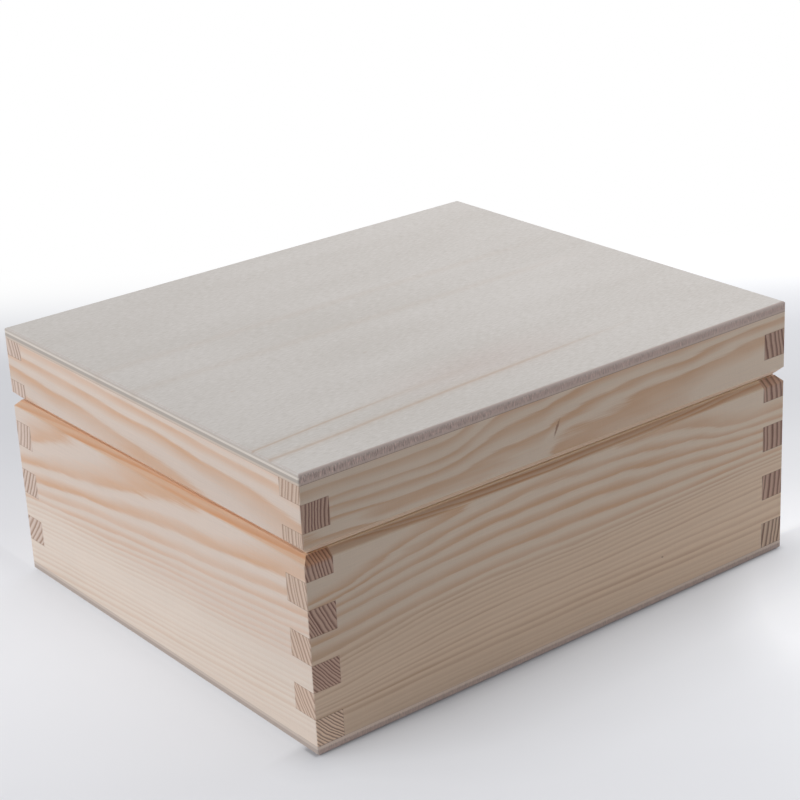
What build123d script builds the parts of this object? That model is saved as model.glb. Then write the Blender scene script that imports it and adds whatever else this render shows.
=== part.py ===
from build123d import *
import os
from math import ceil

# A comb-jointed pine box with a hinged lid and a divider grid.
# Millimetres. X runs along the front from left to right, Y from front to back, Z up.
# The origin is on the table, under the middle of the box.

# Carcass: four pine boards, glued up and closed top and bottom before the lid is sawn off
case_width = 222.0
case_depth = 189.0
board = 11.0
side_height = 96.5
finger = 10.0
panel = 4.0

# Sawing the lid off
saw_line = 68.2
saw_kerf = 3.0

# Edges worked after sawing
lid_rim_chamfer = 3.5
base_rim_chamfer = 2.5
top_round = 1.2
bottom_chamfer = 1.2
corner_round = 0.6
inner_rim_easing = 0.4

# Divider grid inside the base
divider = 4.0
divider_height = 56.0
cross_dividers = 2
groove_depth = 2.5
groove_play = 0.1
lap_play = 0.1
divider_easing = 0.5

# Butt hinges on the back rim
hinge_length = 30.0
hinge_inset = 45.0
pin_set_back = 2.2
barrel_radius = 1.5
pin_radius = 0.8
pin_play = 0.05
pin_grip = 0.02
knuckles = 5
knuckle_play = 0.1
leaf_width = 6.5
leaf = 1.0
leaf_play = 0.05
bed_play = 0.1
barrel_play = 0.2

# Countersunk slotted screws, two in each leaf
screw_spacing = 18.0
screw_length = 8.0
screw_head_radius = 1.6
screw_shank_radius = 0.8
screw_play = 0.02
slot_width = 0.4
slot_depth = 0.35

# Places worked out from the sizes above
split = panel + saw_line
lid_side_top = panel + side_height - saw_kerf
case_height = lid_side_top + panel
pin_y = case_depth / 2 - pin_set_back
inner_width = case_width - 2 * board
inner_depth = case_depth - 2 * board
knuckle_length = hinge_length / knuckles
screw_y = pin_y - (barrel_radius + leaf_width) / 2
hinge_centres = {"left": hinge_inset - case_width / 2, "right": case_width / 2 - hinge_inset}
screw_xs = [x + s * screw_spacing / 2 for x in hinge_centres.values() for s in (-1, 1)]

LOW = (Align.CENTER, Align.CENTER, Align.MIN)
HIGH = (Align.CENTER, Align.CENTER, Align.MAX)


def comb_heights(first):
    """Low and high edge of every second finger, counted up from the bottom of the sides."""
    bands = []
    for n in range(first, ceil(side_height / finger), 2):
        bands.append((n * finger, min((n + 1) * finger, side_height)))
    return bands


def comb_board(length, notches):
    """A whole board, drawn on its face and notched at both ends for the fingers that cross it."""
    outline = Rectangle(length, side_height, align=(Align.CENTER, Align.MIN))
    for low, high in notches:
        for end in (-1, 1):
            place = Pos(end * (length - board) / 2, low)
            outline -= place * Rectangle(board, high - low, align=(Align.CENTER, Align.MIN))
    return extrude(outline, board)


def outer_form(low, high):
    """The space that the box fills between two heights, before its edges are worked."""
    return Pos(0, 0, low) * Box(case_width, case_depth, high - low, align=LOW)


def edges_round(form, end):
    """The four edges round the lowest face of a form, for end 0, or round its highest, for end -1."""
    return form.faces().sort_by(Axis.Z)[end].edges()


def rim_flare(up):
    """What sanding takes off the inner edge of a rim: a shallow flare that opens to the saw line."""
    eased = 2 * inner_rim_easing
    opening = Pos(0, 0, split) * Rectangle(inner_width + eased, inner_depth + eased)
    throat = Pos(0, 0, split + up * inner_rim_easing) * Rectangle(inner_width, inner_depth)
    return loft([opening, throat])


def standing(board_solid, turn, face_y):
    """Stands a board that was drawn flat on the bottom panel, with its face at face_y."""
    upright = Pos(0, face_y, panel) * Rot(90, 0, 0) * board_solid
    return Rot(0, 0, turn) * upright


def divider_centres():
    """Where the cross dividers stand along the box, for compartments of equal width."""
    pitch = (inner_width - cross_dividers * divider) / (cross_dividers + 1) + divider
    first = -pitch * (cross_dividers - 1) / 2
    return [first + n * pitch for n in range(cross_dividers)]


def divider_panel(length, slots, slot_base):
    """An upright divider drawn on its face, slotted halfway, with its upper edges eased."""
    outline = Rectangle(length, divider_height, align=(Align.CENTER, Align.MIN))
    slot = Rectangle(divider + lap_play, divider_height / 2, align=(Align.CENTER, Align.MIN))
    for x in slots:
        outline -= Pos(x, slot_base) * slot
    sheet = extrude(outline, divider / 2, both=True)
    upright = Pos(0, 0, panel) * Rot(90, 0, 0) * sheet
    top_faces = upright.faces().filter_by(Axis.Z).group_by(Axis.Z)[-1]
    long_edges = [edge for face in top_faces for edge in face.edges().filter_by(Axis.X)]
    return chamfer(long_edges, divider_easing)


def groove(x, y, along_x, along_y):
    """Groove that runs from the bottom panel out through the rim."""
    return Pos(x, y, panel) * Box(along_x, along_y, saw_line, align=LOW)


def knuckle_spans(x, first):
    """Start of every second knuckle of a hinge centred at x."""
    start = x - hinge_length / 2
    return [start + n * knuckle_length for n in range(first, knuckles, 2)]


def rod(x, y, z, radius, length):
    """A round bar along X that starts at x."""
    return Pos(x, y, z) * Rot(0, 90, 0) * Cylinder(radius, length, align=LOW)


def hinge_leaf(x, first, up, pin_fit):
    """One leaf of a butt hinge: the plate in its gain, its knuckles and its countersunk holes."""
    plate_edge = pin_y - barrel_radius - bed_play
    plate_end = pin_y - leaf_width
    plate_z = split + up * (leaf_play + leaf / 2)
    plate = Pos(x, (plate_edge + plate_end) / 2, plate_z) * Box(hinge_length, plate_edge - plate_end, leaf)
    for start in knuckle_spans(x, first):
        middle = start + knuckle_length / 2
        tongue = Pos(middle, (plate_edge + pin_y) / 2, plate_z)
        plate += tongue * Box(knuckle_length - knuckle_play, pin_y - plate_edge, leaf)
        plate += rod(start + knuckle_play / 2, pin_y, split, barrel_radius, knuckle_length - knuckle_play)
    plate -= rod(x - hinge_length / 2, pin_y, split, pin_radius + pin_fit, hinge_length)
    for side in (-1, 1):
        plate -= screw(x + side * screw_spacing / 2, up, screw_play, 0)
    return plate


def screw(x, up, play, slot):
    """A blunt screw that points away from the saw line, its head as high as the leaf, wider by play."""
    shank = screw_shank_radius + play
    end = screw_length + play
    profile = Polyline((0, 0), (screw_head_radius, 0), (shank, leaf), (shank, end), (0, end), close=True)
    body = revolve(Plane.XZ * make_face(profile), Axis.Z)
    if slot:
        body -= Box(2 * screw_head_radius, slot_width, 2 * slot)
    if up < 0:
        body = Rot(180, 0, 0) * body
    return Pos(x, screw_y, split + up * leaf_play) * body


def screw_hole(x, up):
    """The hole drilled in a rim for one screw, with a flat bottom."""
    away = LOW if up > 0 else HIGH
    drilled = Cylinder(screw_shank_radius + screw_play, screw_length + screw_play, align=away)
    return Pos(x, screw_y, split + up * leaf_play) * drilled


def hinge_bed(x, up):
    """What is cut from a rim for one hinge: the gain for the plate and the hollow for the barrel."""
    far = pin_y - leaf_width - bed_play
    length = hinge_length + 2 * bed_play
    away = LOW if up > 0 else HIGH
    gain = Pos(x, (far + pin_y) / 2, split) * Box(length, pin_y - far, leaf_play + leaf, align=away)
    return gain + rod(x - length / 2, pin_y, split, barrel_radius + barrel_play, length)


parts = {}

# Whole boards, drawn flat and stood up. Counted from the bottom, the first, third and further odd
# fingers belong to the left and right boards and the even ones to the front and back boards.
side_fingers = comb_heights(0)
front_fingers = comb_heights(1)
long_board = comb_board(case_width, side_fingers)
short_board = comb_board(case_depth, front_fingers)
whole_boards = {
    "front": standing(long_board, 0, -case_depth / 2 + board),
    "right": standing(short_board, 90, -case_width / 2 + board),
    "back": standing(long_board, 180, -case_depth / 2 + board),
    "left": standing(short_board, -90, -case_width / 2 + board),
}

# The lid is sawn off, both rims are chamfered, and the rest of the outside is sanded by hand: the
# top edges are rounded over, the bottom edges broken and the corners eased.
base_form = outer_form(0, split)
base_form = chamfer(edges_round(base_form, 0), bottom_chamfer)
base_form = chamfer(edges_round(base_form, -1), base_rim_chamfer)
lid_form = outer_form(split, case_height)
lid_form = chamfer(edges_round(lid_form, 0), lid_rim_chamfer)
lid_form = fillet(edges_round(lid_form, -1), top_round)
eased_corners = extrude(RectangleRounded(case_width, case_depth, corner_round), case_height)
base_form = (base_form & eased_corners) - rim_flare(-1)
lid_form = (lid_form & eased_corners) - rim_flare(1)
for name, whole in whole_boards.items():
    parts[f"base_{name}_board"] = whole & base_form
    parts[f"lid_{name}_board"] = Pos(0, 0, -saw_kerf) * whole & lid_form
sheet = Box(case_width, case_depth, panel, align=LOW)
parts["bottom_panel"] = sheet & base_form
parts["top_panel"] = Pos(0, 0, lid_side_top) * sheet & lid_form

# Divider grid: the long divider is slotted from above, the cross dividers from below
long_divider_length = inner_width + 2 * groove_depth - groove_play
cross_divider_length = inner_depth + 2 * groove_depth - groove_play
centres = divider_centres()
parts["long_divider"] = divider_panel(long_divider_length, centres, divider_height / 2)
cross = Rot(0, 0, 90) * divider_panel(cross_divider_length, [0], 0)
for number, x in enumerate(centres, start=1):
    parts[f"cross_divider_{number}"] = Pos(x, 0, 0) * cross

groove_width = divider + groove_play
for x in centres:
    for name, y in (("front", -1), ("back", 1)):
        place_y = y * (inner_depth + groove_depth) / 2
        parts[f"base_{name}_board"] -= groove(x, place_y, groove_width, groove_depth)
for name, x in (("left", -1), ("right", 1)):
    place_x = x * (inner_width + groove_depth) / 2
    parts[f"base_{name}_board"] -= groove(place_x, 0, groove_depth, groove_width)

# Hinges: three knuckles on the base leaf, two on the lid leaf, one pin through both
for name, x in hinge_centres.items():
    parts["base_back_board"] -= hinge_bed(x, -1)
    parts["lid_back_board"] -= hinge_bed(x, 1)
    parts[f"{name}_hinge_base_leaf"] = hinge_leaf(x, 0, -1, pin_grip)
    parts[f"{name}_hinge_lid_leaf"] = hinge_leaf(x, 1, 1, pin_play)
    parts[f"{name}_hinge_pin"] = rod(x - hinge_length / 2, pin_y, split, pin_radius, hinge_length)

# Screws, and their holes in the rims
for name, up in (("base", -1), ("lid", 1)):
    for x in screw_xs:
        parts[f"{name}_back_board"] -= screw_hole(x, up)
    parts[f"{name}_hinge_screws"] = Compound([screw(x, up, 0, slot_depth) for x in screw_xs])

os.makedirs("parts", exist_ok=True)
for node, shape in parts.items():
    export_step(shape, f"parts/{node}.step")
    print(f"{node}: volume {shape.volume:.1f} mm3")
print(f"box {case_width} x {case_depth} x {case_height:.1f} mm")
print(f"saw line at {split:.1f} mm, pin at y {pin_y:.2f} mm")
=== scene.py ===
import random
from dataclasses import dataclass
from math import radians

import bpy
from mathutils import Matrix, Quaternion, Vector


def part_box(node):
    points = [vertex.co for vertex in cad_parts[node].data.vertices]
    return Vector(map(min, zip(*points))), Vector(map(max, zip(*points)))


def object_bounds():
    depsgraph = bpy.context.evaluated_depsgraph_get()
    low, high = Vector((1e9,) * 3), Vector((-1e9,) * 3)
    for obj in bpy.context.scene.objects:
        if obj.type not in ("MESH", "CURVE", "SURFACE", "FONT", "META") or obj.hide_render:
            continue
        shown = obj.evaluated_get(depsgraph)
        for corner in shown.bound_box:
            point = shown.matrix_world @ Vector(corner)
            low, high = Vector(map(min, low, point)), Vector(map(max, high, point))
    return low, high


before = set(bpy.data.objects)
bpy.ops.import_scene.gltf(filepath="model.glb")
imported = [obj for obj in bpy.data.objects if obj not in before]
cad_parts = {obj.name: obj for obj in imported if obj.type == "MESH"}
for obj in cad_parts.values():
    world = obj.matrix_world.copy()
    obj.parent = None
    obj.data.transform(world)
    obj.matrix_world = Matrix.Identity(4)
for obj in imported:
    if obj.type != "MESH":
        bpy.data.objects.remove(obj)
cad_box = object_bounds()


# The view: the box stands with its near corner between the two faces in view, seen from a little
# above the lid through a long lens, with the camera leaning three degrees to one side.
eye = Vector((-0.44304, -0.58479, 0.36499))
sight = Vector((0.56113, 0.73721, -0.37637))
camera_lean = radians(-3.0)
view_camera = bpy.data.cameras.new("view_camera")
view_camera.lens = 94.2
view_camera.sensor_width = 36.0
viewer = bpy.data.objects.new("viewer", view_camera)
viewer.location = eye
viewer.rotation_mode = "QUATERNION"
viewer.rotation_quaternion = sight.to_track_quat("-Z", "Y") @ Quaternion((0, 0, 1), camera_lean)
bpy.context.scene.collection.objects.link(viewer)
bpy.context.scene.camera = viewer
bpy.context.scene.view_settings.view_transform = "Standard"


# The front board of the carcass, sawn into the front of the base and the front of the lid. It is
# plain-sawn pine: the tree's heart lay outside, in front of the face, so wide flame figure runs
# along the saw line and fine straight grain below it.
MM = 1000.0
BOARD = 11.0
FINGER = 10.0
SAW_KERF = 3.0
half_width = cad_box[1].x * MM
half_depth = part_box("base_front_board")[0].y * -MM
side_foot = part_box("base_left_board")[0].z * MM
saw_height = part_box("lid_left_board")[0].z * MM


def tone(colour):
    """A colour as seen, 0 to 255, turned into the light that a surface gives back."""
    levels = [level / 255 for level in colour]
    light = [v / 12.92 if v <= 0.04045 else ((v + 0.055) / 1.055) ** 2.4 for v in levels]
    return (*light, 1.0)


class Amount:
    """A number that varies over a surface, for sums that are written as any other is."""

    def __init__(self, finish, socket):
        self.finish = finish
        self.socket = socket

    def __add__(self, other):
        return self.finish.number("ADD", self, other)

    def __sub__(self, other):
        return self.finish.number("SUBTRACT", self, other)

    def __rsub__(self, other):
        return self.finish.number("SUBTRACT", other, self)

    def __mul__(self, other):
        return self.finish.number("MULTIPLY", self, other)

    def __truediv__(self, other):
        return self.finish.number("DIVIDE", self, other)

    def __abs__(self):
        return self.finish.number("ABSOLUTE", self)

    def rise(self, start, end, low=0.0, high=1.0):
        """Goes smoothly from low, where this amount is at start, to high, where it is at end."""
        made = self.finish.step("MapRange")
        made.interpolation_type = "SMOOTHSTEP"
        for socket, given in zip(made.inputs, (self, start, end, low, high)):
            self.finish.feed(socket, given)
        return Amount(self.finish, made.outputs[0])

    def fall(self, start, end, low=0.0):
        """Goes smoothly from 1, where this amount is at start, down to low, where it is at end."""
        return self.rise(start, end, 1.0, low)

    def through(self, points, bend):
        """Goes through (amount, result) points, and stays level before the first and after the last."""
        first, last = points[0][0], points[-1][0]
        results = [result for _, result in points]
        least = min(results)
        span = (max(results) - least) or 1.0
        made = self.finish.step("FloatCurve")
        curve = made.mapping.curves[0]
        for spare in range(len(points) - len(curve.points)):
            curve.points.new(0.5, 0.5)
        for point, (amount, result) in zip(curve.points, points):
            point.location = ((amount - first) / (last - first), (result - least) / span)
            point.handle_type = bend
        made.mapping.extend = "HORIZONTAL"
        made.mapping.update()
        self.finish.feed(made.inputs["Value"], (self - first) / (last - first))
        return self.finish.number("MULTIPLY_ADD", made.outputs[0], span, least)

    def line(self, points):
        """Straight runs through (amount, result) points."""
        return self.through(points, "VECTOR")

    def curve(self, points):
        """A smooth curve through (amount, result) points."""
        return self.through(points, "AUTO_CLAMPED")


def between(part, a, b):
    """Goes from a to b as part goes from 0 to 1."""
    return part * (b - a) + a


class Finish:
    """The finish of one piece while it is being mixed, step by step, with every length in mm."""

    def __init__(self, name):
        self.material = bpy.data.materials.new(name)
        self.material.use_nodes = True
        self.tree = self.material.node_tree
        self.surface = self.tree.nodes["Principled BSDF"]
        on_piece = self.step("TexCoord")
        self.facing = on_piece.outputs["Normal"]
        self.place = self.vector("SCALE", on_piece.outputs["Object"], scale=MM)
        parts = self.step("SeparateXYZ")
        self.feed(parts.inputs[0], self.place)
        self.x, self.y, self.z = (Amount(self, part) for part in parts.outputs)

    def step(self, kind):
        """A new node of this kind."""
        return self.tree.nodes.new("ShaderNode" + kind)

    def feed(self, socket, value):
        """Gives an input a plain value, or what another step has made."""
        value = getattr(value, "socket", value)
        if isinstance(value, bpy.types.NodeSocket):
            self.tree.links.new(value, socket)
        else:
            socket.default_value = value

    def number(self, operation, a, b=0.0, c=0.0):
        """One step of arithmetic with numbers."""
        made = self.step("Math")
        made.operation = operation
        for socket, value in zip(made.inputs, (a, b, c)):
            self.feed(socket, value)
        return Amount(self, made.outputs[0])

    def vector(self, operation, a, b=(0, 0, 0), scale=1.0):
        """One step of arithmetic with directions or places."""
        made = self.step("VectorMath")
        made.operation = operation
        for socket, value in ((0, a), (1, b), (3, scale)):
            self.feed(made.inputs[socket], value)
        if operation in ("DOT_PRODUCT", "LENGTH"):
            return Amount(self, made.outputs["Value"])
        return made.outputs["Vector"]

    def join(self, x, y, z):
        """Three amounts as one direction, place or colour."""
        whole = self.step("CombineXYZ")
        for socket, value in zip(whole.inputs, (x, y, z)):
            self.feed(socket, value)
        return whole.outputs[0]

    def square_on(self, axis):
        """How squarely the surface faces along an axis."""
        return abs(self.vector("DOT_PRODUCT", self.facing, axis))

    def cloud(self, size, longer=1.0, way=(1, 0, 0), detail=2.0, seed=0.0, roughness=0.5):
        """Even noise about zero, in patches of this size that are longer one way by this factor."""
        made = self.step("TexNoise")
        made.noise_dimensions = "4D"
        patch = [size * (1.0 + (longer - 1.0) * part) for part in way]
        scaled = self.vector("DIVIDE", self.place, patch)
        given = {"Vector": scaled, "W": seed, "Scale": 1.0, "Detail": detail, "Roughness": roughness}
        for name, value in given.items():
            self.feed(made.inputs[name], value)
        return Amount(self, made.outputs[0]) - 0.5

    def mix(self, amount, a, b, way="MIX"):
        """Goes from colour a to colour b as the amount goes from 0 to 1."""
        made = self.step("Mix")
        made.data_type = "RGBA"
        made.blend_type = way
        made.clamp_factor = True
        for socket, value in ((0, amount), (6, a), (7, b)):
            self.feed(made.inputs[socket], value)
        return made.outputs[2]

    def paint(self, colour, amount, paint):
        """Covers a colour with paint where the amount is 1."""
        return self.mix(amount, colour, tone(paint))

    def tint(self, colour, amount, tint):
        """Filters a colour through a tint where the amount is 1."""
        return self.mix(amount, colour, tone(tint), "MULTIPLY")

    def shaded(self, colour, shade):
        """A colour made darker by a shade below 1, and paler by one above it."""
        return self.mix(1.0, colour, self.join(shade, shade, shade), "MULTIPLY")

    def give(self, property_name, value):
        """Sets a property of the surface."""
        self.feed(self.surface.inputs[property_name], value)

    def relief(self, height, depth):
        """Gives the surface a fine relief, in which a height of 1 stands this deep."""
        made = self.step("Bump")
        for name, value in {"Strength": 1.0, "Distance": depth / MM, "Height": height}.items():
            self.feed(made.inputs[name], value)
        self.give("Normal", made.outputs[0])


def lay_on(node, finish):
    """Puts a finish on a piece of the box."""
    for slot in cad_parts[node].material_slots:
        slot.material = finish.material


EVENLY = ((-111, 1.0), (111, 1.0))


@dataclass
class Plank:
    """A pine plank as it was cut from the tree, before it was sawn into base and lid.

    heart: how far behind the outer face the tree's heart lay, how high, and how it leans
    rings: the width and darkness of each ring, counted outwards from first_ring
    swell: how far the rings stray from plain circles about the heart
    face_tones: early and late wood in the flames, then late and early wood in fine grain
    end_tones: early and late wood where the grain ends
    end_cut: the heart's depth and height and the rings as the ends show them, if they differ
    flames: the heights between which fine grain turns into flames
    marks: its resin marks, each as resin_mark asks for it
    groove_warm_light, chamfer_shade, lid_chamfer_light: painted groove light, base chamfer shade, lid
    chamfer light painted_light_up, painted_light_up_ends, painted_light_along: painted light and shade up
    the face and ends, and along it
    """

    side: str
    seed: float
    heart: tuple
    rings: list
    first_ring: float
    swell: object
    face_tones: tuple
    end_tones: tuple
    end_cut: tuple = ()
    flames: tuple = (34, 44)
    marks: tuple = ()
    groove_warm_light: float = 0.25
    chamfer_shade: float = 0.0
    lid_chamfer_light: float = 0.0
    painted_light_up: tuple = EVENLY
    painted_light_up_ends: tuple = EVENLY
    painted_light_along: tuple = EVENLY


class Board(Finish):
    """The finish of one board, sawn from a plank. A board of the lid lay a saw kerf higher in it."""

    def __init__(self, name, plank, kerf):
        super().__init__(name)
        self.seed = plank.seed
        self.long_side = plank.side in ("front", "back")
        if self.long_side:
            self.along, across = self.x, self.y
            self.half_length, half_case = half_width, half_depth
            self.grain = (1, 0, 0)
        else:
            self.along, across = self.y, self.x
            self.half_length, half_case = half_depth, half_width
            self.grain = (0, 1, 0)
        outward = -1.0 if plank.side in ("front", "left") else 1.0
        self.depth = half_case - across * outward
        self.height = self.z + kerf
        self.end_grain = self.square_on(self.grain).rise(0.3, 0.8)

    def streaks(self, size, longer, number, detail=2.0, roughness=0.5):
        """Noise drawn out along the grain, and different for each number."""
        return self.cloud(size, longer, self.grain, detail, self.seed + number, roughness)

    def from_heart(self, heart_depth, heart_height):
        """How much further a place lies from the tree's heart than the face does."""
        out = self.depth - heart_depth
        up = self.height - heart_height
        return self.number("SQRT", out * out + up * up) - abs(heart_depth)


def in_rings(level, rings, start):
    """How far through its ring each level lies, from 0 to 1, and how dark that ring is."""
    counted = [(start, 0)]
    darkness = [(start, rings[0][1])]
    for count, (width, dark) in enumerate(rings, start=1):
        start += width
        counted.append((start, count))
        darkness.append((start, dark))
    part = level.finish.number("FRACT", level.line(counted))
    return part, level.line(darkness)


GREY_FOOT = (243, 255, 252)
END_LATE_WOOD = ((0.0, 1.0), (0.08, 0.15), (0.4, 0.05), (0.6, 0.4), (0.78, 0.95), (1.0, 1.0))


def end_colour(board, plank, part, dark, uneven):
    """The end grain: the rings as they meet the end of the board, greyer at the foot of short ones."""
    if plank.end_cut:
        heart_depth, heart_height, rings = plank.end_cut
        part, dark = in_rings(board.from_heart(heart_depth, heart_height) + uneven, rings, plank.first_ring)
    speckle = board.cloud(size=0.3, seed=plank.seed + 13.0)
    late = part.line(END_LATE_WOOD) * (dark * 0.5 + 0.6) + speckle * 0.5
    early_tone, late_tone = map(tone, plank.end_tones)
    colour = board.mix(late, early_tone, late_tone)
    if board.long_side:
        return colour
    return board.tint(colour, board.height.fall(16.0, 24.0), GREY_FOOT)


# Painted warm light, reflected into the V groove between base and lid.
GROOVE_WARM_LIGHT = (255, 212, 166)
# Painted shade on the base's chamfer, which lies in the lid's shadow.
CHAMFER_SHADE_TONE = (228, 205, 188)
# Painted light on the lid's chamfer, strongest where the two chamfers meet, which pales the dark V.
LID_CHAMFER_LIGHT_TONE = (252, 232, 208)
LID_CHAMFER_LIGHT_CURVE = ((-0.3, 0.0), (0.0, 0.6), (0.15, 1.0), (0.5, 1.0), (0.9, 0.8), (1.6, 0.3), (2.4, 0.12),
              (3.4, 0.0))


def rim_light_and_shade(board, plank, colour):
    """Paints warm light into the V groove, shade on the base's chamfer and light on the lid's one."""
    above_saw = board.z - saw_height
    cut_back = board.depth.rise(0.05, 0.6)
    outer = board.depth.fall(3.8, 4.6)
    in_groove = abs(above_saw).fall(2.0, 4.0) * cut_back
    base_chamfer = in_groove * outer * above_saw.fall(-0.6, -0.1)
    lid_chamfer = above_saw.line(LID_CHAMFER_LIGHT_CURVE) * outer * cut_back
    colour = board.tint(colour, in_groove * plank.groove_warm_light, GROOVE_WARM_LIGHT)
    colour = board.tint(colour, base_chamfer * plank.chamfer_shade, CHAMFER_SHADE_TONE)
    return board.paint(colour, lid_chamfer * plank.lid_chamfer_light, LID_CHAMFER_LIGHT_TONE)


RESIN = (150, 106, 84)


def resin_mark(board, place, height, width, tall, slant, strength):
    """A small dark resin mark at a place along a board, leaning by slant."""
    up = board.z - height
    off = board.along - place - up * slant
    reach = board.vector("LENGTH", board.join(off * (2 / width), up * (2 / tall), 0.0))
    ragged = reach + board.cloud(size=0.6, seed=place)
    return ragged.rise(0.4, 1.1, strength, 0.0)


GLUE_LINE = (150, 118, 98)
GLUE_THICKNESS = 0.09


def glue_seams(board):
    """The thin dark line of glue round the fingers at both ends of a board."""
    from_end = board.half_length - abs(board.along)
    in_comb = board.number("LESS_THAN", from_end, BOARD)
    up_comb = board.height - side_foot
    from_edge = board.number("PINGPONG", up_comb, FINGER / 2)
    edge_lines = from_edge.fall(GLUE_THICKNESS / 2, GLUE_THICKNESS * 2)
    foot_line = board.number("COMPARE", from_end, BOARD, GLUE_THICKNESS)
    at_notch = board.number("LESS_THAN", board.number("FLOORED_MODULO", up_comb, 2 * FINGER), FINGER)
    if not board.long_side:
        at_notch = 1.0 - at_notch
    return board.number("MAXIMUM", in_comb * edge_lines, foot_line * at_notch)


LATE_WOOD = ((0.0, 0.6), (0.06, 0.12), (0.14, 0.0), (0.35, 0.0), (0.6, 0.55), (0.8, 0.95), (0.94, 1.0),
             (1.0, 0.6))
BARE_WOOD_SHINE = 0.3
SANDED_ROUGHNESS = 0.62
GRAIN_RELIEF = 0.035


def pine(name, plank, kerf):
    """Sanded, unfinished pine with the figure that the plank's rings draw where they meet a face."""
    board = Board(name, plank, kerf)
    heart_depth, heart_height, heart_lean = plank.heart
    wander = board.streaks(size=10.0, longer=5.0, number=0.0)
    waver = board.streaks(size=3.0, longer=12.0, number=2.0)
    ripple = board.streaks(size=0.9, longer=30.0, number=3.0, detail=3.0)
    uneven = wander * 1.2 + waver * 0.4 + ripple * 0.18
    level = board.from_heart(heart_depth, board.along * heart_lean + heart_height)
    part, dark = in_rings(level + plank.swell(board) + uneven, plank.rings, plank.first_ring)

    fibre = board.streaks(size=0.35, longer=40.0, number=11.0, detail=3.0, roughness=0.6)
    blotch = board.streaks(size=9.0, longer=5.0, number=7.0, detail=3.0)
    late = (part + fibre * 0.3).line(LATE_WOOD) * dark
    late = late * (blotch * 1.6 + 1.0) + fibre * 0.3
    flame_early, flame_late, fine_late, fine_early = map(tone, plank.face_tones)
    in_flames = board.height.rise(*plank.flames)
    early_tone = board.mix(in_flames, fine_early, flame_early)
    late_tone = board.mix(in_flames, fine_late, flame_late)
    face = board.mix(late, early_tone, late_tone)
    colour = board.mix(board.end_grain, face, end_colour(board, plank, part, dark, uneven))

    drift = board.streaks(size=30.0, longer=3.0, number=17.0)
    planed = board.cloud(size=0.4, longer=14.0, way=(0, 0, 1), seed=plank.seed + 19.0)
    dust = board.cloud(size=0.5, detail=3.0, seed=plank.seed + 23.0)
    shade = drift * 0.10 + fibre * 0.22 + planed * 0.05 + dust * 0.08 + 1.0
    # Painted light and shade: the face and the ends are drawn paler or darker up the board, and the face
    # along it.
    face_painted_light = board.height.line(plank.painted_light_up)
    ends_painted_light = board.height.line(plank.painted_light_up_ends)
    shade = shade * between(board.end_grain, face_painted_light, ends_painted_light) * board.along.line(plank.painted_light_along)
    colour = rim_light_and_shade(board, plank, board.shaded(colour, shade))
    for mark in plank.marks:
        colour = board.paint(colour, resin_mark(board, *mark), RESIN)
    colour = board.paint(colour, glue_seams(board) * 0.5, GLUE_LINE)

    board.give("Base Color", colour)
    board.give("Roughness", fibre * 0.25 + SANDED_ROUGHNESS)
    board.give("Specular IOR Level", BARE_WOOD_SHINE)
    board.relief(fibre + late * 0.4 + 0.5, GRAIN_RELIEF)
    return board


def saw_in_two(plank):
    """Lays a plank's pine on both boards that were sawn from it, one for the base and one for the lid."""
    for body, kerf in (("base", 0.0), ("lid", SAW_KERF)):
        lay_on(f"{body}_{plank.side}_board", pine(f"{body}_{plank.side}_pine", plank, kerf))


def even_rings(seed, width, count, dark=1.0):
    """Rings of about this width, a little wider and narrower by turns."""
    years = random.Random(seed)
    return [(width * years.uniform(0.7, 1.35), dark * years.uniform(0.4, 0.9)) for _ in range(count)]


FRONT_TONES = ((228, 208, 186), (214, 176, 143), (202, 168, 138), (230, 205, 179))
FRONT_HEART = (-90.5, 80.5, 0.0)
FRONT_RINGS = [
    (2.95, 0.0), (1.5, 0.9), (0.85, 0.85), (1.15, 0.85), (1.3, 0.8), (2.2, 0.8), (2.0, 0.75), (1.2, 0.6),
    (0.72, 0.6), (0.75, 0.4), (1.17, 0.25), (0.76, 0.45), (0.84, 0.3), (1.0, 0.7), (1.4, 0.15), (0.7, 0.4),
    (1.1, 0.6), (1.4, 0.45), (1.8, 0.75), (1.7, 0.55), (1.8, 0.15), (0.7, 0.2), (1.25, 0.3), (1.4, 0.2),
    (1.6, 0.3), (1.8, 0.4), (1.6, 0.3), (1.8, 0.4), (1.7, 0.3),
]
FRONT_END_RINGS = [*FRONT_RINGS[:8], *even_rings(seed=5, width=1.7, count=16, dark=1.6)]
KNOT_TRACE = (-3.4, 85.0, 1.4, 6.5, 0.45, 0.75)
PITCH_SPOT = (47.0, 18.5, 1.2, 0.9, 0.0, 0.6)


def front_swell(board):
    """The rings dip towards both ends below, and climb to the right in the lid."""
    left_dip = board.along.curve([(-111, -3.3), (-97, -2.8), (-81, -1.9), (-65, -1.1), (-49, -0.5),
                                  (-33, -0.1), (-17, 0.0)])
    right_dip = board.along.curve([(-1, 0.0), (21, -0.2), (39, -0.5), (63, -0.95), (79, -1.5), (95, -1.9),
                                   (111, -2.1)])
    left_part = board.height.curve([(0, 0.25), (12, 0.3), (23, 1.05), (30, 1.0), (44, 0.7), (60, 0.95),
                                    (90, 1.0)])
    right_part = board.height.curve([(0, 0.3), (15, 0.25), (22, -0.2), (30, -0.45), (43, 0.15), (52, 1.0),
                                     (90, 1.0)])
    below = left_dip * left_part + right_dip * right_part
    climb = board.along.curve([(-111, 0.45), (-97, 0.5), (-65, 0.9), (-33, 0.9), (-13, 0.8), (-3, 0.45),
                               (11, 0.2), (29, -0.02), (57, -0.12), (73, -0.2), (111, -0.45)])
    tighten = board.along.curve([(-111, 0.25), (-60, 0.25), (-25, 0.03), (111, 0.0)])
    in_lid = climb + tighten * board.number("MAXIMUM", board.height - 84.0, 0.0)
    turn = board.along.line([(-111, 70), (40, 70), (58, 72), (70, 77), (111, 79)])
    return between(board.height.rise(turn, turn + 12.0), below, in_lid)


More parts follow.
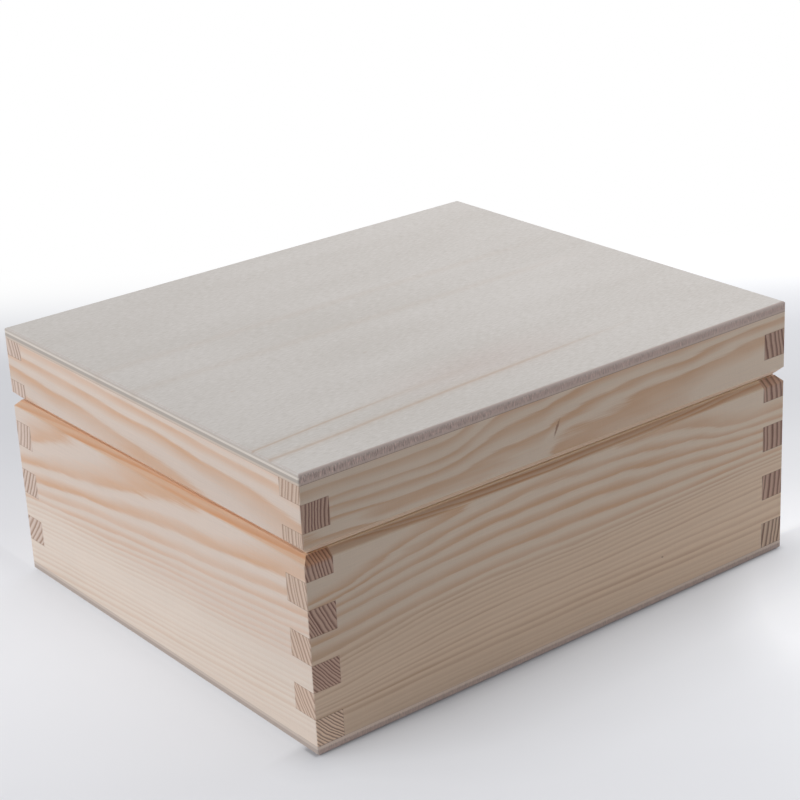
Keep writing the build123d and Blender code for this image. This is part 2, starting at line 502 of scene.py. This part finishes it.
FRONT_PLANK = Plank(
    side="front",
    seed=1.0,
    heart=FRONT_HEART,
    rings=FRONT_RINGS,
    first_ring=-4.0,
    swell=front_swell,
    face_tones=FRONT_TONES,
    end_tones=((231, 208, 188), (190, 158, 138)),
    end_cut=(*FRONT_HEART[:2], FRONT_END_RINGS),
    marks=(KNOT_TRACE, PITCH_SPOT),
    # Painted warm light in the groove, painted shade on the base's chamfer, painted light on the lid's.
    groove_warm_light=0.1,
    chamfer_shade=0.45,
    lid_chamfer_light=1.0,
    # Painted light and shade up the face and the ends, and along the face.
    painted_light_up=((0, 1.06), (20, 1.08), (34, 1.03), (50, 1.0), (97, 0.975)),
    painted_light_up_ends=((0, 1.08), (22, 1.06), (50, 1.0), (97, 0.98)),
    painted_light_along=((-111, 0.885), (0, 1.0), (111, 1.12)),
)
saw_in_two(FRONT_PLANK)


# The left board, sawn in two with the front one. The heart lay inside, behind the face, and not
# quite in line with the board, so the flames open towards the back.
LEFT_TONES = ((227, 210, 196), (219, 180, 149), (213, 186, 163), (231, 217, 203))
SHORT_BOARD_ENDS = ((204, 172, 152), (130, 96, 83))
LEFT_RINGS = [
    (1.8, 0.6), (1.7, 0.6), (1.6, 0.6), (1.8, 0.6), (1.7, 0.6), (1.6, 0.6), (1.8, 0.6), (1.7, 0.9),
    (2.45, 0.9), (2.65, 0.85), (2.3, 0.6), (1.9, 0.7), (1.8, 0.4), (1.2, 0.45), (1.5, 0.3), (1.4, 0.3),
    (1.2, 0.45), (1.4, 0.35), (1.6, 0.15), (1.6, 0.15), (1.6, 0.25), (1.1, 0.2), (2.0, 0.3), (1.3, 0.35),
    (1.6, 0.45), (2.3, 0.45), (1.5, 0.2), (1.5, 0.25), (1.5, 0.2),
]
LEFT_END_RINGS = [*even_rings(seed=12, width=1.5, count=15), *even_rings(seed=14, width=1.0, count=44)]


def left_swell(board):
    """The heart drifts away from the board towards the front, so the rings open like a V."""
    below = board.along.curve([(-94, 1.6), (-75, 1.1), (-40, 0.2), (-10, -0.3), (40, -1.7), (94, -3.8)])
    below = below * board.height.rise(8, 38, 0.25, 1.0)
    in_lid = board.along.curve([(-94, 1.65), (-76, 1.0), (-50, 0.3), (-24, -0.6), (-2, -1.25), (18, -1.7),
                                (34, -2.2), (46, -2.7), (62, -3.1), (94, -4.0)])
    return between(board.height.rise(75, 86), below, in_lid)


LEFT_PLANK = Plank(
    side="left",
    seed=2.0,
    heart=(55.0, 72.0, -0.048),
    rings=LEFT_RINGS,
    first_ring=-16.0,
    swell=left_swell,
    face_tones=LEFT_TONES,
    end_tones=SHORT_BOARD_ENDS,
    end_cut=(75.0, 84.0, LEFT_END_RINGS),
    flames=(26, 38),
    # Painted warm light in the groove and painted light on the lid's chamfer.
    groove_warm_light=0.55,
    lid_chamfer_light=0.3,
    # Painted light and shade up the face and up the ends.
    painted_light_up=((0, 1.09), (20, 1.06), (40, 0.99), (68, 0.965), (84, 0.92), (97, 0.99)),
    painted_light_up_ends=((0, 1.8), (12, 1.7), (22, 1.1), (44, 1.0), (66, 0.98), (90, 0.9)),
)
saw_in_two(LEFT_PLANK)


# The right board and the back board, cut from other planks of the same pine and jointed and sawn
# in the same way. The rings stand nearly upright in the ends of the right board.
def gentle_swell(board):
    """A slow wave along the trunk."""
    return board.number("SINE", board.along / 55.0) * 0.8


RIGHT_PLANK = Plank(
    side="right",
    seed=5.0,
    heart=(-75.0, 60.0, 0.02),
    rings=even_rings(seed=4, width=1.7, count=24),
    first_ring=-14.0,
    swell=gentle_swell,
    face_tones=LEFT_TONES,
    end_tones=SHORT_BOARD_ENDS,
    end_cut=(200.0, 50.0, even_rings(seed=4, width=2.2, count=18)),
    # Painted light up the ends.
    painted_light_up_ends=((0, 1.6), (12, 1.5), (24, 1.18), (34, 1.1), (48, 1.06), (97, 1.06)),
)
BACK_RINGS = [*even_rings(seed=9, width=2.3, count=5, dark=0.6),
              *even_rings(seed=10, width=1.9, count=22, dark=1.3)]
BACK_PLANK = Plank(
    side="back",
    seed=9.0,
    heart=(-65.0, 78.0, 0.0),
    rings=BACK_RINGS,
    first_ring=-3.0,
    swell=gentle_swell,
    face_tones=FRONT_TONES,
    end_tones=((224, 205, 192), (176, 146, 126)),
)
saw_in_two(RIGHT_PLANK)
saw_in_two(BACK_PLANK)


# The top and bottom panels: three-ply with pale peeled veneer outside and a darker core whose
# grain crosses it. Each is glued flat on the edges of the boards and sanded flush with them.
PALE_VENEER = (214, 209, 205)
GREY_VENEER = (199, 193, 187)
VENEER_ROUGHNESS = 0.6
VENEER_RELIEF = 0.03
COARSE_SAWING = ((-111, 2.8), (-60, 2.2), (0, 1.5), (111, 1.2))
AXES = {"x": (1, 0, 0), "y": (0, 1, 0), "z": (0, 0, 1)}


def layered(sheet, colour, depth, layers):
    """The colour at this depth in a sheet, where each layer is reached between its two depths."""
    for start, end, layer in layers:
        colour = sheet.paint(colour, depth.rise(start, end), layer)
    return colour


def plywood(name, faces, grain, good_face, inward, end_layers, side_layers, seed, sawing=EVENLY):
    """Three-ply that faces along one axis, its good face at this place, its grain along another."""
    sheet = Finish(name)
    fleck = sheet.cloud(size=0.5, longer=6.0, way=AXES[grain], detail=3.0, seed=seed, roughness=0.6)
    drift = sheet.cloud(size=26.0, longer=4.0, way=AXES[grain], detail=3.0, seed=seed + 2.0)
    veneer = sheet.mix(fleck * 3.6 + drift * 1.6 + 0.5, tone(PALE_VENEER), tone(GREY_VENEER))

    depth = (getattr(sheet, faces) - good_face) * inward
    in_core = depth.rise(0.5, 1.0) * depth.fall(2.8, 3.2, 0.3)
    crumb = sheet.cloud(size=0.4, longer=5.0, way=AXES[faces], detail=3.0, seed=seed + 4.0, roughness=0.7)
    torn = crumb * in_core * sheet.x.line(sawing) + 1.0
    sides = sheet.shaded(layered(sheet, veneer, depth, side_layers), torn)
    ends = layered(sheet, veneer, depth, end_layers)
    edge = sheet.mix(sheet.square_on(AXES[grain]).rise(0.3, 0.6), sides, ends)
    colour = sheet.mix(sheet.square_on(AXES[faces]).rise(0.93, 0.99), edge, veneer)
    sheet.give("Roughness", VENEER_ROUGHNESS)
    sheet.give("Specular IOR Level", BARE_WOOD_SHINE)
    sheet.relief(fleck + 0.5, VENEER_RELIEF)
    return sheet, colour


def streak(across, middle, width, along, start, end):
    """How strongly a streak shows: it fades outwards from its middle line, and from start to end."""
    return abs(across - middle).fall(0.0, width) * along.fall(start, end)


# The pale second layer in the ends is the face veneer's edge, made paler still by a painted highlight.
TOP_END_LAYERS_AND_HIGHLIGHT = ((0.25, 0.6, (202, 192, 183)), (0.9, 1.15, (233, 224, 213)), (1.7, 2.0, (192, 182, 172)),
                  (2.95, 3.2, (218, 203, 188)), (3.85, 3.95, (190, 160, 140)))
TOP_SIDE_LAYERS = ((0.0, 0.12, (204, 187, 180)), (0.45, 0.8, (205, 187, 177)), (1.0, 1.6, (201, 178, 167)),
                   (2.8, 3.1, (208, 187, 175)), (3.7, 3.9, (168, 145, 132)))
top_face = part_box("top_panel")[1].z * MM
top, top_colour = plywood("top_plywood", faces="z", grain="x", good_face=top_face, inward=-1.0, seed=1.0,
                          end_layers=TOP_END_LAYERS_AND_HIGHLIGHT, side_layers=TOP_SIDE_LAYERS, sawing=COARSE_SAWING)

# Two thin brown streaks in the top's veneer near the front, a pink cast between and behind them,
# two faint bands further back, and two small specks.
BROWN_STREAK = (186, 160, 138)
PINK_CAST = (240, 224, 220)
wavering = top.y + top.cloud(size=12.0, longer=6.0, seed=3.0) * 1.6
back_line = top.x.curve([(-111, -69.2), (-60, -64.7), (0, -62.0), (111, -60.0)])
front_line = top.x.curve([(-111, -78.6), (-95, -77.9), (-28, -73.0), (111, -66.0)])
brown = (streak(wavering, back_line, 0.9, top.x, -75.0, -35.0) * 0.6
         + streak(wavering, front_line, 1.3, top.x, -20.0, 70.0) * 0.5)
halo = (streak(wavering, back_line, 3.5, top.x, -40.0, 0.0) * 0.5
        + streak(wavering, front_line, 4.0, top.x, -20.0, 70.0) * 0.6)
pink = streak(top.y, -62.0, 20.0, top.x, -10.0, 50.0) * top.x.rise(-70.0, -10.0)
in_veneer = top.z.rise(top_face - 0.8, top_face - 0.1)
top_colour = top.tint(top_colour, pink * 0.35, PINK_CAST)
top_colour = top.paint(top_colour, halo * in_veneer * 0.3, BROWN_STREAK)
top_colour = top.paint(top_colour, brown * in_veneer, BROWN_STREAK)
for band in (26.5, 2.5):
    faint = streak(wavering, band, 4.0, top.x, 60.0, 111.0) * 0.1
    top_colour = top.paint(top_colour, faint, BROWN_STREAK)
for speck_x, speck_y in ((-86.0, -21.5), (-31.0, -24.5)):
    off = top.vector("SUBTRACT", top.place, (speck_x, speck_y, top_face))
    from_speck = top.vector("LENGTH", top.vector("MULTIPLY", off, (1.0, 3.0, 1.0)))
    top_colour = top.paint(top_colour, from_speck.rise(0.4, 1.3, 0.35, 0.0), BROWN_STREAK)
# Painted light: the top is drawn paler towards the right.
top_painted_light = top.x.rise(-140.0, 140.0, 0.91, 1.06)
top.give("Base Color", top.shaded(top_colour, top_painted_light))
lay_on("top_panel", top)

BOTTOM_END_LAYERS = ((0.0, 0.2, (206, 192, 182)), (0.9, 1.2, (190, 176, 166)), (2.7, 3.0, (214, 200, 188)))
BOTTOM_SIDE_LAYERS = ((0.0, 0.2, (206, 190, 185)), (0.9, 1.3, (206, 184, 172)), (2.4, 3.2, (238, 219, 203)),
                      (3.8, 3.95, (205, 181, 165)))
bottom, bottom_colour = plywood("bottom_plywood", faces="z", grain="x", good_face=0.0, inward=1.0, seed=6.0,
                                end_layers=BOTTOM_END_LAYERS, side_layers=BOTTOM_SIDE_LAYERS)
bottom.give("Base Color", bottom_colour)
lay_on("bottom_panel", bottom)


# The dividers: thin plywood strips, half-lapped where they cross and slid into grooves in the
# four boards. They lift out.
DIVIDER_LAYERS = ((0.0, 0.2, (214, 200, 186)), (1.1, 1.3, (172, 148, 130)), (2.7, 2.9, (214, 200, 186)))
DIVIDER_AXES = {"long_divider": ("y", "x"), "cross_divider_1": ("x", "y"), "cross_divider_2": ("x", "y")}
for seed, (node, (faces, grain)) in enumerate(DIVIDER_AXES.items(), start=20):
    good_face = getattr(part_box(node)[0], faces) * MM
    divider, divider_colour = plywood(f"{node}_plywood", faces, grain, good_face, inward=1.0, seed=seed,
                                      end_layers=DIVIDER_LAYERS, side_layers=DIVIDER_LAYERS)
    divider.give("Base Color", divider_colour)
    lay_on(node, divider)


# The two butt hinges and their pins: rolled and stamped brass, lacquered once and now a little
# dull, let into both rims at the back.
SATIN_ROUGHNESS = 0.32
RUBBED_RELIEF = 0.01


def brass(name, colour, dull, seed):
    """Brass with rubbed streaks along its length and a slight tarnish."""
    metal = Finish(name)
    rubbed = metal.cloud(size=0.2, longer=30.0, seed=seed)
    tarnish = metal.cloud(size=2.5, detail=3.0, seed=seed + 5.0)
    metal.give("Base Color", metal.mix(tarnish * 1.2 + rubbed * 0.5 + 0.35, tone(colour), tone(dull)))
    metal.give("Metallic", 1.0)
    metal.give("Roughness", tarnish * 0.3 + SATIN_ROUGHNESS)
    metal.relief(rubbed + 0.5, RUBBED_RELIEF)
    return metal


HINGE_BRASS = (232, 200, 140)
DULL_BRASS = (190, 150, 92)
hinge_metal = brass("hinge_brass", HINGE_BRASS, DULL_BRASS, seed=30.0)
for side in ("left", "right"):
    for piece in ("base_leaf", "lid_leaf", "pin"):
        lay_on(f"{side}_hinge_{piece}", hinge_metal)


# The screws: eight small countersunk slotted screws of the same brass, a little brighter than the
# hinges. They are driven flush with the leaves, four into the base and four into the lid.
SCREW_BRASS = (236, 206, 146)
screw_metal = brass("screw_brass", SCREW_BRASS, DULL_BRASS, seed=40.0)
for body in ("base", "lid"):
    lay_on(f"{body}_hinge_screws", screw_metal)


# The table: a pale matt sheet that runs out of sight into white, with painted shade that darkens it
# close to the box.
TABLE_REACH = 6.0
UNDER_BOX = 0.00005
corners = [(x * TABLE_REACH, y * TABLE_REACH, 0.0) for x, y in ((-1, -1), (1, -1), (1, 1), (-1, 1))]
table_mesh = bpy.data.meshes.new("table_sheet")
table_mesh.from_pydata(corners, [], [(0, 1, 2, 3)])
table_top = bpy.data.objects.new("table_sheet", table_mesh)
table_top.location.z = -UNDER_BOX
bpy.context.scene.collection.objects.link(table_top)

# Painted light and shade on the table, as a level for each place: inwards runs from the near edge of
# the table to the far one, past the near corner of the box, and crossways from left to right.
INWARDS = (0.6057, 0.7957, 0.0)
CROSSWAYS = (0.7957, -0.6057, 0.0)
LIGHTEST = 1.3
table = Finish("table_white")
inwards = table.vector("DOT_PRODUCT", table.place, INWARDS)
crossways = table.vector("DOT_PRODUCT", table.place, CROSSWAYS)
level = inwards.curve([(-300, 0.8), (-165, 0.82), (-140, 0.86), (-126, 0.88), (-90, 0.94), (-60, 0.97),
                       (-20, 0.94), (10, 0.88), (36, 0.77), (65, 0.67), (96, 0.62), (130, 0.56), (165, 0.53),
                       (205, 0.53), (260, 0.62), (320, 0.85), (390, 1.0)])
table_light_to_right = crossways.curve([(-200, 1.0), (0, 1.0), (90, 1.05), (125, 1.12), (145, 1.2), (220, 1.25)])
table_light_to_right = table_light_to_right + crossways.rise(108.0, 141.0) * inwards.rise(-120.0, -60.0) * 0.25
level = table.number("MINIMUM", level * table_light_to_right, LIGHTEST)

# The painted shadow along the front of the box is deep at its foot and reaches furthest left of the
# middle. The painted shade along its left side starts past the near corner, and is narrow and weak.
FRONT_FOOT = 1.5 - half_depth
LEFT_FOOT = 1.2 - half_width
OUT_OF_REACH = 100.0
ahead = table.number("MAXIMUM", FRONT_FOOT - table.y, 0.0)
aside = table.number("MAXIMUM", abs(table.x) - half_width, 0.0)
from_front = table.vector("LENGTH", table.join(ahead, aside, 0.0))
behind_front = table.y.rise(FRONT_FOOT + 5.0, FRONT_FOOT + 15.0, 0.0, OUT_OF_REACH)
deep_reach = table.x.line([(-111, 0.12), (-100, 0.32), (-83, 0.6), (-60, 1.0), (-20, 0.95), (0, 0.8),
                           (60, 0.5), (111, 0.3), (125, 0.3)])
wide_reach = table.x.line([(-111, 0.3), (-83, 0.85), (-60, 1.1), (100, 1.0), (125, 0.8)])
deep_shade = (from_front / deep_reach + behind_front).line([(0, 0.32), (1.4, 0.44), (2.7, 0.57), (5.4, 0.8),
                                                            (9, 0.95), (14, 1.0)])
wide_shade = (from_front / wide_reach + behind_front).line([(0, 0.62), (6, 0.66), (10, 0.7), (18, 0.79),
                                                            (34, 0.92), (60, 1.0)])
left_shade = (LEFT_FOOT - table.x).line([(-2.0, 1.0), (0.0, 1.0), (1.6, 0.92), (5.0, 0.9), (9.0, 0.93),
                                         (16, 0.97), (30, 1.0)])
past_corner = table.y.rise(-half_depth - 2.0, -half_depth + 12.0)
level = level * deep_shade * wide_shade * between(past_corner, 1.0, left_shade)

# The camera sees the table half as this glow, which carries the painted shade, and half as a plain
# sheet, which takes the box's own shadow, and far away as pure white.
# Everything else meets the plain sheet alone.
NEAR_TABLE = (236, 237, 244)
TABLE_GLOW = (252, 253, 255)
TABLE_ROUGHNESS = 0.9
TABLE_SHINE = 0.1
NEAR_GLOW = 0.5
WHITE = (1.0, 1.0, 1.0, 1.0)
from_box = table.vector("LENGTH", table.place)
far = table.number("MAXIMUM", inwards.rise(230.0, 390.0), from_box.rise(420.0, 800.0))
glow = table.step("Emission")
table.feed(glow.inputs["Color"], table.mix(far, table.shaded(tone(TABLE_GLOW), level), WHITE))
light_path = table.step("LightPath")
glowing = far.rise(0.0, 1.0, NEAR_GLOW, 1.0) * Amount(table, light_path.outputs["Is Camera Ray"])
blend = table.step("MixShader")
for socket, value in enumerate((glowing, table.surface.outputs[0], glow.outputs[0])):
    table.feed(blend.inputs[socket], value)
table.feed(table.tree.nodes["Material Output"].inputs["Surface"], blend.outputs[0])
table.give("Base Color", tone(NEAR_TABLE))
table.give("Roughness", TABLE_ROUGHNESS)
table.give("Specular IOR Level", TABLE_SHINE)
table_mesh.materials.append(table.material)


# The light: a dim room that shows as plain white to the camera and in what shines, with a large
# window lamp to the left of the box and a little behind it, a wide ceiling lamp and a weak side lamp.
ROOM_COLOUR = (0.95, 0.97, 1.0, 1.0)
ROOM_STRENGTH = 0.22
room = bpy.data.worlds.new("white_room")
room.use_nodes = True
bpy.context.scene.world = room
room_nodes = room.node_tree.nodes
room_links = room.node_tree.links
room_light = room_nodes["Background"]
room_light.inputs["Color"].default_value = ROOM_COLOUR
room_light.inputs["Strength"].default_value = ROOM_STRENGTH
white_wall = room_nodes.new("ShaderNodeBackground")
white_wall.inputs["Color"].default_value = WHITE
room_path = room_nodes.new("ShaderNodeLightPath")
seen_white = room_path.outputs["Is Camera Ray"]
for ray in ("Is Glossy Ray", "Is Transmission Ray"):
    either = room_nodes.new("ShaderNodeMath")
    either.operation = "MAXIMUM"
    room_links.new(seen_white, either.inputs[0])
    room_links.new(room_path.outputs[ray], either.inputs[1])
    seen_white = either.outputs[0]
room_mix = room_nodes.new("ShaderNodeMixShader")
for socket, made in enumerate((seen_white, room_light.outputs[0], white_wall.outputs[0])):
    room_links.new(made, room_mix.inputs[socket])
room_links.new(room_mix.outputs[0], room_nodes["World Output"].inputs["Surface"])


def soft_lamp(name, place, aim, size, power):
    """A square soft lamp of this size in metres, turned to its aim."""
    lamp = bpy.data.lights.new(name, "AREA")
    lamp.shape = "SQUARE"
    lamp.size = size
    lamp.energy = power
    holder = bpy.data.objects.new(name, lamp)
    holder.location = place
    holder.rotation_mode = "QUATERNION"
    holder.rotation_quaternion = (Vector(aim) - Vector(place)).to_track_quat("-Z", "Y")
    bpy.context.scene.collection.objects.link(holder)


soft_lamp("window_lamp", place=(-1.35, 0.45, 0.75), aim=(0.0, 0.0, 0.05), size=1.0, power=10.4)
soft_lamp("ceiling_lamp", place=(0.35, 0.3, 1.6), aim=(0.1, 0.1, 0.0), size=2.0, power=17.0)
soft_lamp("side_lamp", place=(1.4, 0.4, 0.9), aim=(0.0, 0.0, 0.0), size=1.2, power=3.0)
